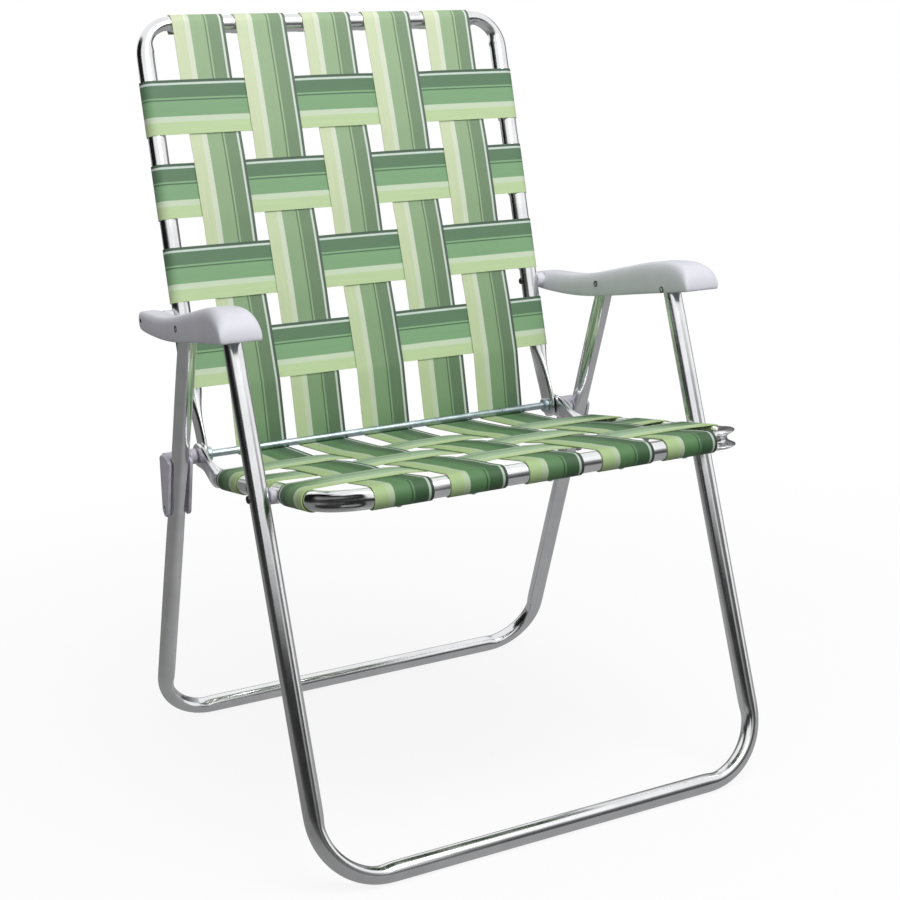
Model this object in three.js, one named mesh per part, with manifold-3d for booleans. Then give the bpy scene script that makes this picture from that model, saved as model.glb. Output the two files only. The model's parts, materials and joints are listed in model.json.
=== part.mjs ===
import * as THREE from "three";
import { mergeVertices } from "three/addons/utils/BufferGeometryUtils.js";
import Module from "manifold-3d";

// A folding webbed lawn chair: four hoops of aluminium tube, two moulded armrests that join
// them, a hinge rod with two flip links, and woven webbing laced over the back and the seat.
// Millimetres, +Z up, front towards -Y, the sitter's left towards +X.
// The origin is on the floor, midway between the two foot bars.

// Driving dimensions: the tube and the hoops
const tubeDiameter = 19;
const legSpacing = 485; // centre to centre of the leg tubes, front and rear alike
const footSpread = 477; // front foot bar to rear foot bar
const frontFootBend = 65;
const rearFootBend = 58;
const backCornerBend = 33;
const seatCornerBend = 40;
const flatThickness = 5; // hoop ends, pressed flat for the hinge
const flatReach = 14; // flat end past the rod
const flatLength = 16; // flat end beside the rod
const flatSet = 24; // length over which the flat is set back to the tube's axis
const flatTaper = 25; // length over which the flat swells to a round tube

// Driving dimensions: the pivots, seen from the side
const hingeHeight = 337;
const hingeSetback = 117; // rod behind the middle of the feet
const hingeBeforeBack = 6.5; // rod in front of the middle of the back tube
const armPivotRise = 147.6; // up the front leg, seat bolt to armrest rivet
const legPivotOffset = 2; // seat bolt behind the leg's middle, armrest rivet before it
const seatBoltReach = 246.4; // rod forward to the bolt between seat and front leg
const seatBoltRise = 12;
const linkPivotDrop = 51.5; // down the rear leg, rod to link rivet
const backRivetOffset = 2.5; // armrest rivet behind the middle of the back tube
const backHeight = 453; // top bar above the rod, along the back
const seatSlope = 7.3; // degrees

// Driving dimensions: the webbing
const webWidth = 57;
const webThickness = 1;
const webTail = 7; // free end past the middle of the wrapped tube
const crossPitch = 88; // between crosswise bands, about
const lengthwiseCount = 5;
const topBandMargin = 27; // upper band's edge to the corner bend
const boltToRearBand = 11.5; // seat bolt's spacer to the band behind it
const boltToFrontBand = 2.5;
const bandToCorner = 1.5;
const rivetToLowerBand = 12; // armrest boss to the back band below it
const rivetToUpperBand = 6;

// Driving dimensions: armrests, links and fasteners
const armWall = 3;
const armRearReach = 24; // past the back rivet
const armFrontReach = 42; // past the front leg rivet
const armCrownSetback = 6; // crown behind the front leg rivet
const armNoseFlare = 12.5; // nose past the outer side, seen from above
const armNoseLength = 75;
const armNoseRound = 6;
const armTipHeight = 2; // all armrest heights count from the line through its rivets
const armHeadRoom = 0.5; // over the back rivet's head, inside the armrest
const armDipHeight = 7;
const armCrownHeight = 27.5;
const armBellyDepth = 15;
const armTipDepth = 4;
const armHoleEdge = 1; // below the front rivet's hole
const bossRadius = 8;
const legTopReach = 8; // front leg past its rivet
const rearTopReach = 4; // rear leg past its rivet
const rearTopDepth = 13; // pinched top of the rear leg, front to back
const rearPinchLength = 18;
const rodDiameter = 8;
const collarDiameter = 16;
const collarLength = 5;
const bushDiameter = 20;
const wingThickness = 3.2;
const wingHingeRadius = 12;
const wingRivetRadius = 9;
const linkBossRadius = 5;
const linkWebLength = 9; // behind the rod
const linkWebThickness = 6;
const shankDiameter = 6;
const headDiameter = 11;
const headHeight = 2.2;
const spacerDiameter = 15;
const screwHeadDiameter = 8;
const screwHeadHeight = 2.4;

// Clearances
const gap = 0.3; // between pieces that bear on each other
const pivotGap = 0.4; // round a pin, all the way
const legGap = 1; // each side of a leg inside its armrest
const weaveGap = 0.5; // between crossing bands

// Places that follow from the sizes
const roundSides = 12; // sides of every round section
const halfFacet = Math.PI / roundSides;
const radius = tubeDiameter / 2; // to the middle of a facet
const cornerRadius = radius / Math.cos(halfFacet);
const legX = legSpacing / 2;
// The spacer holds the seat tube clear of the link's wing and its rivet head.
const spacerLength = wingThickness + headHeight + 2 * gap;
const wingInner = cornerRadius + gap; // from the middle of the leg
const wingOuter = wingInner + wingThickness;
const seatX = legX - cornerRadius - radius - spacerLength - 2 * gap;
const backX = seatX - flatThickness - 2 * gap;
const flatWidth = flatThickness + (Math.PI / 2) * (tubeDiameter - flatThickness);
const sideways = new THREE.Vector3(1, 0, 0);
const sides = { left: 1, right: -1 };

// A side-view point is a Vector2 of (y, z).
const hinge = new THREE.Vector2(hingeSetback, hingeHeight);
const seatPivot = new THREE.Vector2(-seatBoltReach, seatBoltRise).add(hinge);

// The plane that a hoop lies in: along runs up its tubes, out is square to the plane.
class HoopPlane {
  constructor(lean, origin) {
    this.lean = lean;
    this.along = new THREE.Vector2(Math.sin(lean), Math.cos(lean));
    this.out = new THREE.Vector2(-Math.cos(lean), Math.sin(lean));
    this.origin = origin;
  }

  point(along, out) {
    return this.origin.clone().addScaledVector(this.along, along).addScaledVector(this.out, out);
  }

  at(x, along, out) {
    const p = this.point(along, out);
    return new THREE.Vector3(x, p.x, p.y);
  }

  direction(x, along, out) {
    return this.at(x, along, out).sub(this.at(0, 0, 0));
  }

  alongOf(point) {
    return point.clone().sub(this.origin).dot(this.along);
  }

  outOf(point) {
    return point.clone().sub(this.origin).dot(this.out);
  }
}

// The plane through one side-view point that passes another this far out from it.
function planePast(origin, point, out) {
  const reach = point.clone().sub(origin);
  return new HoopPlane(Math.atan2(reach.x, reach.y) + Math.asin(out / reach.length()), origin);
}

// The legs stand on their feet and lean past the seat bolt and the link's boss on the rod.
const hingeBehindLeg = cornerRadius + linkBossRadius + gap;
const frontLegPlane = planePast(new THREE.Vector2(-footSpread / 2, radius), seatPivot, -legPivotOffset);
const rearLegPlane = planePast(new THREE.Vector2(footSpread / 2, radius), hinge, -hingeBehindLeg);
const boltAlong = frontLegPlane.alongOf(seatPivot);
const frontPivot = frontLegPlane.point(boltAlong + armPivotRise, legPivotOffset);
const linkPivot = rearLegPlane.point(rearLegPlane.alongOf(hinge) - linkPivotDrop, 0);

// Back, seat, armrest and front leg are a parallelogram, so the chair folds without strain.
const backPivot = frontPivot.clone().sub(seatPivot).add(hinge);
const armDirection = frontPivot.clone().sub(backPivot).normalize();
const armLength = frontPivot.distanceTo(backPivot);
const rearPivotReach = -rearLegPlane.outOf(backPivot) / rearLegPlane.out.dot(armDirection);
const rearPivot = backPivot.clone().addScaledVector(armDirection, rearPivotReach);

// The origins of the back and the seat are on their tubes' axes, beside the rod.
const backPlane = planePast(hinge, backPivot, -hingeBeforeBack - backRivetOffset);
backPlane.origin = backPlane.point(0, -hingeBeforeBack);
const seatPlane = new HoopPlane(THREE.MathUtils.degToRad(seatSlope - 90), seatPivot);
seatPlane.origin = seatPlane.point(seatPlane.alongOf(hinge), 0);

// Solids, booleans and meshes
const wasm = await Module();
wasm.setup();
const chair = new THREE.Group();

function solidOf(geometry) {
  const bare = new THREE.BufferGeometry();
  const loose = geometry.index ? geometry.toNonIndexed() : geometry;
  bare.setAttribute("position", loose.getAttribute("position"));
  const merged = mergeVertices(bare, 1e-3);
  const vertProperties = merged.getAttribute("position").array;
  const triVerts = new Uint32Array(merged.index.array);
  return new wasm.Manifold(new wasm.Mesh({ numProp: 3, vertProperties, triVerts }));
}

function geometryOf(solid) {
  const mesh = solid.getMesh();
  const geometry = new THREE.BufferGeometry();
  geometry.setAttribute("position", new THREE.BufferAttribute(mesh.vertProperties, 3));
  geometry.setIndex(new THREE.BufferAttribute(mesh.triVerts, 1));
  return geometry;
}

function add(name, geometry, material) {
  geometry.computeVertexNormals();
  const mesh = new THREE.Mesh(geometry, material);
  mesh.name = name;
  chair.add(mesh);
}

// Joins rings of points, all of one length, into a closed solid with flat ends.
function skin(rings) {
  const count = rings[0].length;
  const geometry = new THREE.BufferGeometry().setFromPoints(rings.flat());
  const faces = [];
  for (let ring = 0; ring + 1 < rings.length; ring++) {
    for (let i = 0; i < count; i++) {
      const a = ring * count + i;
      const b = ring * count + ((i + 1) % count);
      faces.push(a, b, a + count, b, b + count, a + count);
    }
  }
  const last = (rings.length - 1) * count;
  for (let i = 1; i + 1 < count; i++) {
    faces.push(0, i + 1, i, last, last + i, last + i + 1);
  }
  geometry.setIndex(faces);
  return geometry;
}

// A round pin, boss or hole along X.
function roundBar(from, to, barRadius, point) {
  const bar = new THREE.CylinderGeometry(barRadius, barRadius, Math.abs(to - from), roundSides);
  bar.rotateZ(-Math.PI / 2);
  bar.translate((from + to) / 2, point.x, point.y);
  return bar;
}

function drilled(geometry, holes) {
  let solid = solidOf(geometry);
  for (const [point, holeRadius] of holes) {
    for (const side of Object.values(sides)) {
      solid = solid.subtract(solidOf(roundBar(0.5 * side * backX, 2 * side * backX, holeRadius, point)));
    }
  }
  return geometryOf(solid);
}

// A turned piece along X, from a profile of (radius, distance) points.
function turned(profile, point) {
  const points = profile.map(([r, x]) => new THREE.Vector2(r, x));
  const geometry = new THREE.LatheGeometry(points, roundSides);
  geometry.rotateZ(-Math.PI / 2);
  geometry.translate(0, point.x, point.y);
  return geometry;
}

function ringAlong(from, to, outer, inner, point) {
  const [low, high] = [Math.min(from, to), Math.max(from, to)];
  return turned([[inner, low], [outer, low], [outer, high], [inner, high], [inner, low]], point);
}

// A rivet or bolt through everything between two x values, with a domed head at each end.
function headed(from, to, point) {
  const [low, high] = [Math.min(from, to) - gap, Math.max(from, to) + gap];
  const [shank, head] = [shankDiameter / 2, headDiameter / 2];
  const crown = 0.6 * head;
  return turned(
    [
      [0, low - headHeight],
      [crown, low - headHeight],
      [head, low - headHeight / 2],
      [head, low],
      [shank, low],
      [shank, high],
      [head, high],
      [head, high + headHeight / 2],
      [crown, high + headHeight],
      [0, high + headHeight],
    ],
    point,
  );
}

// A flat plate in the side view, between two x values.
function plate(shape, from, to) {
  const geometry = new THREE.ExtrudeGeometry(shape, {
    depth: Math.abs(to - from),
    bevelEnabled: false,
    curveSegments: 8,
  });
  const turn = new THREE.Matrix4().makeBasis(
    new THREE.Vector3(0, 1, 0),
    new THREE.Vector3(0, 0, 1),
    sideways,
  );
  return geometry.applyMatrix4(turn).translate(Math.min(from, to), 0, 0);
}

// Materials
const aluminium = { color: 0xd6d8da, roughness: 0.28, metalness: 1 };
const zincSteel = { color: 0xb4bac2, roughness: 0.4, metalness: 1 };
const whitePlastic = { color: 0xe8e8ee, roughness: 0.45, metalness: 0 };
const greyPlastic = { color: 0xc4c7c6, roughness: 0.5, metalness: 0 };
const greenWebbing = { color: 0x8fb48c, roughness: 0.75, metalness: 0 };

function finish(settings) {
  return new THREE.MeshStandardMaterial(settings);
}

// Hoops: a tube bent into a U, with rings of points set square to its path
const bendSteps = 6;

function tubeRing(plane, { x, along, out = 0, tx, ta, sideHalf, outHalf, flat = 0, turn = 0 }) {
  const side = plane.direction(-ta, tx, 0);
  const outward = plane.direction(0, 0, 1);
  const ring = [];
  for (let i = 0; i < roundSides; i++) {
    const angle = halfFacet * (2 * i + 1);
    const round = [Math.cos(angle + turn), Math.sin(angle + turn)].map((v) => v / Math.cos(halfFacet));
    const across = THREE.MathUtils.clamp(Math.cos(angle) / Math.SQRT1_2, -1, 1);
    const pressed = [across, Math.sin(angle) / Math.cos(halfFacet)];
    const u = THREE.MathUtils.lerp(round[0], pressed[0], flat) * sideHalf;
    const v = THREE.MathUtils.lerp(round[1], pressed[1], flat) * outHalf;
    ring.push(plane.at(x, along, out).addScaledVector(side, u).addScaledVector(outward, v));
  }
  return ring;
}

// ends: the stations from a free end to the bend; turn sets a facet square to the floor.
function hoop(plane, halfWidth, bendRadius, barAlong, ends, turn = 0) {
  const sign = Math.sign(ends[0].along - barAlong);
  const round = { sideHalf: radius, outHalf: radius, turn };
  const leftHalf = ends.map((end) => ({ ...round, x: -halfWidth, tx: 0, ta: -sign, ...end }));
  for (let step = 0; step <= bendSteps; step++) {
    const angle = ((Math.PI / 2) * step) / bendSteps;
    leftHalf.push({
      ...round,
      x: -halfWidth + bendRadius * (1 - Math.cos(angle)),
      along: barAlong + sign * bendRadius * (1 - Math.sin(angle)),
      tx: Math.sin(angle),
      ta: -sign * Math.cos(angle),
    });
  }
  const rightHalf = leftHalf.map((s) => ({ ...s, x: -s.x, ta: -s.ta })).reverse();
  return skin([...leftHalf, ...rightHalf].map((station) => tubeRing(plane, station)));
}

// A hoop end pressed flat and set over to the hinge rod.
const roundStart = flatLength + flatSet + flatTaper;

function flatEnds(plane) {
  const pressed = {
    sideHalf: flatThickness / 2,
    outHalf: flatWidth / 2,
    flat: 1,
    out: plane.outOf(hinge),
  };
  return [
    { ...pressed, along: -flatReach, outHalf: 0.6 * pressed.outHalf },
    { ...pressed, along: -flatReach / 2 },
    { ...pressed, along: flatLength },
    { ...pressed, along: flatLength + flatSet, out: 0 },
    { along: roundStart },
  ];
}

const pivotHole = shankDiameter / 2 + pivotGap;
const rodHole = rodDiameter / 2 + pivotGap;

const frontTop = frontLegPlane.alongOf(frontPivot) + legTopReach;
const frontLegs = hoop(
  frontLegPlane,
  legX,
  frontFootBend,
  0,
  [{ along: frontTop }],
  frontLegPlane.lean,
);
const frontLegHoles = [
  [frontPivot, pivotHole],
  [seatPivot, pivotHole],
];
add("front_leg_frame", drilled(frontLegs, frontLegHoles), finish(aluminium));

const rearTop = rearLegPlane.alongOf(rearPivot) + rearTopReach;
const rearLegEnds = [
  { along: rearTop, outHalf: rearTopDepth / 2 },
  { along: rearTop - rearPinchLength },
];
const rearLegs = hoop(rearLegPlane, legX, rearFootBend, 0, rearLegEnds, rearLegPlane.lean);
const rearLegHoles = [
  [rearPivot, pivotHole],
  [linkPivot, pivotHole],
];
add("rear_leg_frame", drilled(rearLegs, rearLegHoles), finish(aluminium));

const back = hoop(backPlane, backX, backCornerBend, backHeight, flatEnds(backPlane));
const backHoles = [
  [hinge, rodHole],
  [backPivot, pivotHole],
];
add("back_frame", drilled(back, backHoles), finish(aluminium));

const spacerRadius = spacerDiameter / 2;
const seatBoltAlong = seatPlane.alongOf(seatPivot);
const frontBandAlong = seatBoltAlong + spacerRadius + boltToFrontBand + webWidth / 2;
const seatFront = frontBandAlong + webWidth / 2 + bandToCorner + seatCornerBend;
const seat = hoop(seatPlane, seatX, seatCornerBend, seatFront, flatEnds(seatPlane));
const seatHoles = [
  [hinge, rodHole],
  [seatPivot, pivotHole],
];
add("seat_frame", drilled(seat, seatHoles), finish(aluminium));

// Hinge rod, with a collar inside and a plastic bush outside the two flat ends
const backFlatInner = backX - flatThickness / 2;
const seatFlatOuter = seatX + flatThickness / 2;
const bushStart = seatFlatOuter + gap;
const rodEnd = legX - wingOuter - gap;
add("hinge_rod", roundBar(-rodEnd, rodEnd, rodDiameter / 2, hinge), finish(zincSteel));
for (const [side, sign] of Object.entries(sides)) {
  const collarEnd = sign * (backFlatInner - gap);
  const collarStart = collarEnd - sign * collarLength;
  const collar = ringAlong(collarStart, collarEnd, collarDiameter / 2, rodDiameter / 2 + gap, hinge);
  add(`rod_collar_${side}`, collar, finish(zincSteel));
  const bush = ringAlong(sign * bushStart, sign * rodEnd, bushDiameter / 2, rodDiameter / 2 + gap, hinge);
  add(`rod_bush_${side}`, bush, finish(greyPlastic));
}

// Armrests: a deep moulded channel, open below, that straddles the leg tops
function armPoint(distance, height) {
  const upward = new THREE.Vector2(-armDirection.y, armDirection.x).negate();
  return backPivot.clone().addScaledVector(armDirection, distance).addScaledVector(upward, height);
}

const armRearHeight = headDiameter / 2 + armHeadRoom + armWall;

// inset draws the outline in for the channel, which is then open below.
function armShape(inset) {
  const [rear, front] = [-armRearReach + inset, armLength + armFrontReach - inset];
  const top = [
    armPoint(rear, armTipHeight - inset),
    armPoint(-0.25 * armRearReach, armRearHeight - inset),
    armPoint(0.45 * rearPivotReach, armDipHeight - inset),
    armPoint(rearPivotReach, armDipHeight + 0.3 * (armCrownHeight - armDipHeight) - inset),
    armPoint(armLength - armCrownSetback, armCrownHeight - inset),
    armPoint(front - 0.35 * armFrontReach, 0.76 * armCrownHeight - inset),
    armPoint(front - 0.08 * armFrontReach, 0.35 * armCrownHeight - inset),
    armPoint(front, Math.min(0, -inset)),
  ];
  const opened = inset > 0 ? armBellyDepth : 0;
  const bottom = [
    armPoint(front - armWall, -opened),
    armPoint(armLength, -pivotHole - armHoleEdge - opened),
    armPoint(0.7 * rearPivotReach, -armBellyDepth - opened),
    armPoint(0.3 * rearPivotReach, -armBellyDepth - opened),
    armPoint(rear, -armTipDepth - opened),
  ];
  const shape = new THREE.Shape();
  shape.moveTo(top[0].x, top[0].y);
  shape.splineThru(top.slice(1));
  shape.lineTo(bottom[0].x, bottom[0].y);
  shape.splineThru(bottom.slice(1));
  shape.closePath();
  return shape;
}

const channelHalf = radius + legGap;
const armHalf = channelHalf + armWall;
const bossEnd = backX + radius + gap;

// From above, as (outward, forward) points from the back rivet: straight on the inside, flared
// at the nose on the outside and round behind. The channel ends squarely behind the back rivet.
function armPlan(inset) {
  const half = armHalf - inset;
  const nose = half + armNoseFlare;
  const front = armLength + armFrontReach - inset;
  const corner = front - armNoseRound;
  const waist = front - armNoseLength;
  const shape = new THREE.Shape();
  shape.moveTo(-half, 0);
  shape.lineTo(-half, corner);
  shape.quadraticCurveTo(-half, front, -half + armNoseRound, front);
  shape.lineTo(nose - armNoseRound, front);
  shape.quadraticCurveTo(nose, front, nose, corner);
  shape.bezierCurveTo(nose, (corner + waist) / 2, half, (corner + waist) / 2, half, waist);
  shape.lineTo(half, 0);
  if (inset > 0) {
    shape.lineTo(half, -bossRadius);
    shape.lineTo(-half, -bossRadius);
  } else {
    shape.absellipse(0, 0, half, armRearReach, 0, -Math.PI, true);
  }
  shape.closePath();
  return shape;
}

// The armrest's outside, or its channel, is where its side view and its plan meet.
function armSolid(sign, inset) {
  const depth = 4 * (armCrownHeight + armBellyDepth);
  const prism = new THREE.ExtrudeGeometry(armPlan(inset), { depth, bevelEnabled: false, curveSegments: 8 });
  prism.translate(0, 0, -depth / 2);
  const outward = new THREE.Vector3(sign, 0, 0);
  const forward = new THREE.Vector3(0, armDirection.x, armDirection.y);
  const turn = new THREE.Matrix4().makeBasis(outward, forward, outward.clone().cross(forward));
  prism.applyMatrix4(turn.setPosition(sign * legX, backPivot.x, backPivot.y));
  const reach = armHalf + armNoseFlare;
  const profile = plate(armShape(inset), sign * (legX - reach), sign * (legX + reach));
  return solidOf(profile).intersect(solidOf(prism));
}

// Only the rear leg's rivet goes on through the outer skirt.
for (const [side, sign] of Object.entries(sides)) {
  const [inner, outer] = [sign * (legX - armHalf), sign * (legX + armHalf)];
  const boss = roundBar(sign * bossEnd, sign * legX, bossRadius, backPivot);
  let shell = armSolid(sign, 0).add(solidOf(boss)).subtract(armSolid(sign, armWall));
  for (const [point, end] of [
    [backPivot, legX],
    [rearPivot, 2 * legX],
    [frontPivot, legX],
  ]) {
    shell = shell.subtract(solidOf(roundBar(sign * backX, sign * end, pivotHole, point)));
  }
  add(`armrest_${side}`, geometryOf(shell), finish(whitePlastic));

  const frontRivet = headed(inner, sign * (legX + cornerRadius), frontPivot);
  add(`arm_front_rivet_${side}`, frontRivet, finish(zincSteel));
  add(`arm_rear_rivet_${side}`, headed(inner, outer, rearPivot), finish(zincSteel));
  const backRivet = headed(sign * (backX - radius), sign * (legX - channelHalf), backPivot);
  add(`arm_back_rivet_${side}`, backRivet, finish(zincSteel));
}

// Flip links: two wings either side of the rear leg, joined by a boss and a web at the rod
function wingShape() {
  const reach = hinge.clone().sub(linkPivot);
  const axis = reach.angle();
  const tangent = Math.acos((wingRivetRadius - wingHingeRadius) / reach.length());
  const shape = new THREE.Shape();
  shape.absarc(linkPivot.x, linkPivot.y, wingRivetRadius, axis + tangent, axis - tangent + 2 * Math.PI);
  shape.absarc(hinge.x, hinge.y, wingHingeRadius, axis - tangent, axis + tangent);
  shape.closePath();
  return shape;
}

// The web stands behind the rod, on the side away from the leg.
function linkWebShape() {
  const up = rearLegPlane.along;
  const behind = rearLegPlane.out.clone().negate();
  const corner = (back, rise) => hinge.clone().addScaledVector(behind, back).addScaledVector(up, rise);
  const half = linkWebThickness / 2;
  return new THREE.Shape([
    corner(0, -half),
    corner(linkWebLength, -half),
    corner(linkWebLength, half),
    corner(0, half),
  ]);
}

for (const [side, sign] of Object.entries(sides)) {
  const [near, far] = [sign * (legX - wingInner), sign * (legX + wingInner)];
  const [inside, outside] = [sign * (legX - wingOuter), sign * (legX + wingOuter)];
  const overlap = (sign * wingThickness) / 2;
  const link = solidOf(plate(wingShape(), inside, near))
    .add(solidOf(plate(wingShape(), far, outside)))
    .add(solidOf(roundBar(near - overlap, far + overlap, linkBossRadius, hinge)))
    .add(solidOf(plate(linkWebShape(), near - overlap, far + overlap)));
  add(`hinge_link_${side}`, drilled(geometryOf(link), [[linkPivot, pivotHole]]), finish(greyPlastic));
  add(`link_rivet_${side}`, headed(inside, outside, linkPivot), finish(zincSteel));

  const spacerStart = sign * (seatX + radius + gap);
  const spacerEnd = spacerStart + sign * spacerLength;
  const spacer = ringAlong(spacerStart, spacerEnd, spacerRadius, pivotHole, seatPivot);
  add(`seat_spacer_${side}`, spacer, finish(greyPlastic));
  const bolt = headed(sign * (seatX - radius), sign * (legX + cornerRadius), seatPivot);
  add(`seat_bolt_${side}`, bolt, finish(zincSteel));
}

// Webbing: flat bands whose path is a list of points, wrapped round the tubes at their ends
function band(path, widthDirection) {
  const half = widthDirection.clone().multiplyScalar(webWidth / 2);
  const rings = path.map((point, i) => {
    const before = point.clone().sub(path[Math.max(i - 1, 0)]);
    const after = path[Math.min(i + 1, path.length - 1)].clone().sub(point);
    if (before.length() === 0) before.copy(after);
    if (after.length() === 0) after.copy(before);
    const tangent = before.clone().normalize().add(after.clone().normalize()).normalize();
    const mitre = tangent.dot(after.normalize());
    const rise = tangent.cross(widthDirection).multiplyScalar(webThickness / (2 * mitre));
    return [
      point.clone().sub(half).sub(rise),
      point.clone().add(half).sub(rise),
      point.clone().add(half).add(rise),
      point.clone().sub(half).add(rise),
    ];
  });
  return skin(rings);
}

// A wrap from the sitter's side of a tube to its far side, corner by corner with the tube's
// facets, as (outward, height) pairs from the tube's axis, and on to the tail.
const wrapLevel = radius + gap + webThickness / 2;
const weaveLift = (webThickness + weaveGap) / 2;

function wrap() {
  const corners = [];
  for (let i = 0; i < roundSides / 2; i++) {
    const angle = Math.PI / 2 - halfFacet * (2 * i + 1);
    const reach = wrapLevel / Math.cos(halfFacet);
    corners.push([reach * Math.cos(angle), reach * Math.sin(angle)]);
  }
  return [...corners, [-webTail, -wrapLevel]];
}

// Points of a woven run: each crossing is a flat stretch over (1) or under (-1) the other band.
function wovenRun(crossings) {
  const flatHalf = webWidth / 2 + weaveGap;
  return crossings.flatMap(([place, over]) => [
    [place - flatHalf, wrapLevel + over * weaveLift],
    [place + flatHalf, wrapLevel + over * weaveLift],
  ]);
}

const straightTop = backX - backCornerBend;
const straightFront = seatX - seatCornerBend;
const lengthwisePitch = (2 * Math.min(straightTop, straightFront) - webWidth) / (lengthwiseCount - 1);
const lengthwiseX = Array.from(
  { length: lengthwiseCount },
  (_, i) => (i - (lengthwiseCount - 1) / 2) * lengthwisePitch,
);

// Crosswise bands stand clear of the armrest rivet on the back and of the bolt on the seat, and
// the one nearest the rod lies where the tubes are round.
const rivetAlong = backPlane.alongOf(backPivot);
const lowestAlong = roundStart + webWidth / 2;
const lowBandAlong = Math.max(rivetAlong - bossRadius - rivetToLowerBand - webWidth / 2, lowestAlong);
const midBandAlong = rivetAlong + bossRadius + rivetToUpperBand + webWidth / 2;
const topBandAlong = backHeight - backCornerBend - topBandMargin - webWidth / 2;
const upperCount = Math.max(1, Math.round((topBandAlong - midBandAlong) / crossPitch));
const upperPitch = (topBandAlong - midBandAlong) / upperCount;
const backCross = Array.from({ length: upperCount }, (_, i) => topBandAlong - i * upperPitch);
backCross.push(midBandAlong, lowBandAlong);
const rearBandAlong = seatBoltAlong - spacerRadius - boltToRearBand - webWidth / 2;
const seatCross = [Math.max(rearBandAlong - crossPitch, lowestAlong), rearBandAlong, frontBandAlong];

// Each crossing alternates, and the crosswise bands count from the top and from the rear.
const crossIsOver = (crossIndex, lengthwiseIndex) => ((crossIndex + lengthwiseIndex) % 2 === 0 ? 1 : -1);

// Lays the bands of one hoop. facing is the side of the plane that the sitter meets, and
// endHeight is how far above the tube axes the lengthwise bands are where they reach the rod.
function laceHoop(part, plane, facing, halfWidth, barAlong, cross, endAlong, endHeight) {
  lengthwiseX.forEach((x, index) => {
    const crossings = cross
      .map((along, crossIndex) => [along, -crossIsOver(crossIndex, index)])
      .sort((a, b) => a[0] - b[0]);
    const run = [[endAlong, endHeight], ...wovenRun(crossings)];
    const overBar = wrap().map(([outward, height]) => [barAlong + outward, height]);
    const path = [...run, ...overBar].map(([along, height]) => plane.at(x, along, facing * height));
    const name = `${part}_web_lengthwise_${index + 1}`;
    add(name, band(path, sideways.clone().multiplyScalar(facing)), finish(greenWebbing));

    const screwOut = -facing * (wrapLevel + webThickness / 2 + gap);
    const screw = new THREE.CylinderGeometry(
      0.6 * (screwHeadDiameter / 2),
      screwHeadDiameter / 2,
      screwHeadHeight,
      roundSides,
    );
    const away = plane.direction(0, 0, -facing);
    screw.applyQuaternion(new THREE.Quaternion().setFromUnitVectors(new THREE.Vector3(0, 1, 0), away));
    const seatOfHead = plane.at(x, barAlong, screwOut).addScaledVector(away, screwHeadHeight / 2);
    screw.translate(seatOfHead.x, seatOfHead.y, seatOfHead.z);
    add(`${part}_web_screw_${index + 1}`, screw, finish(zincSteel));
  });
  cross.forEach((along, crossIndex) => {
    const run = wovenRun(lengthwiseX.map((x, index) => [x, crossIsOver(crossIndex, index)]));
    const rightEnd = wrap().map(([outward, height]) => [halfWidth + outward, height]);
    const leftEnd = rightEnd.map(([x, height]) => [-x, height]).reverse();
    const path = [...leftEnd, ...run, ...rightEnd].map(([x, height]) => plane.at(x, along, facing * height));
    const name = `${part}_web_cross_${crossIndex + 1}`;
    add(name, band(path, plane.direction(0, -facing, 0)), finish(greenWebbing));
  });
}

// The lengthwise bands stop short of the rod, behind it on the back and below it on the seat.
const besideRod = rodDiameter / 2 + gap + webThickness / 2;
const webStart = collarDiameter / 2;
laceHoop(
  "back",
  backPlane,
  1,
  backX,
  backHeight,
  backCross,
  webStart,
  backPlane.outOf(hinge) - besideRod,
);
laceHoop(
  "seat",
  seatPlane,
  -1,
  seatX,
  seatFront,
  seatCross,
  webStart,
  -seatPlane.outOf(hinge) - besideRod,
);

export default chair;
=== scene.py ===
import json
import math

import bmesh
import bpy
from mathutils import Matrix, Vector


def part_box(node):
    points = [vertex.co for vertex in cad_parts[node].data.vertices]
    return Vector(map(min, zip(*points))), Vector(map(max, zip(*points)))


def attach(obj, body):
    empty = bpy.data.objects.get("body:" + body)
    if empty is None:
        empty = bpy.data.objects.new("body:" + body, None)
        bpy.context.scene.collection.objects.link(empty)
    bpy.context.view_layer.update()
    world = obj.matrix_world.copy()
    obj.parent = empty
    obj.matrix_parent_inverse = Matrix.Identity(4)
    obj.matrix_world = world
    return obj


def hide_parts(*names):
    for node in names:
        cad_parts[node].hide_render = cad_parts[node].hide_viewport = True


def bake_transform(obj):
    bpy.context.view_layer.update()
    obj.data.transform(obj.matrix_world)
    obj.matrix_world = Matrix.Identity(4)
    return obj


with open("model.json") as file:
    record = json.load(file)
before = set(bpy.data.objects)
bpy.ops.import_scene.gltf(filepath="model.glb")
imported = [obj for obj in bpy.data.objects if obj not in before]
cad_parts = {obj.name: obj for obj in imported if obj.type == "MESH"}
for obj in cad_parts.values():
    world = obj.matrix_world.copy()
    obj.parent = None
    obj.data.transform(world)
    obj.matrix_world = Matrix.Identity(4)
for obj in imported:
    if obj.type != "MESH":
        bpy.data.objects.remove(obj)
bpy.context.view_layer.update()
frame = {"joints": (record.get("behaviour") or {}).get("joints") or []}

bpy.context.scene.view_settings.view_transform = "Standard"

# Camera: a fairly long lens 1.6 m away, to the sitter's right of the chair's front and higher
# than the seat. Its place, aim and lens were fitted to the straight edges of the tubes.
photo_size = 900
focal_pixels = 1582.6
picture_middle = (449.2, 447.7)
camera_place = (-0.7156, -1.4456, 0.7140)
camera_turn = math.radians(26.945)
camera_dip = math.radians(13.17)
camera_roll = math.radians(-2.158)

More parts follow.
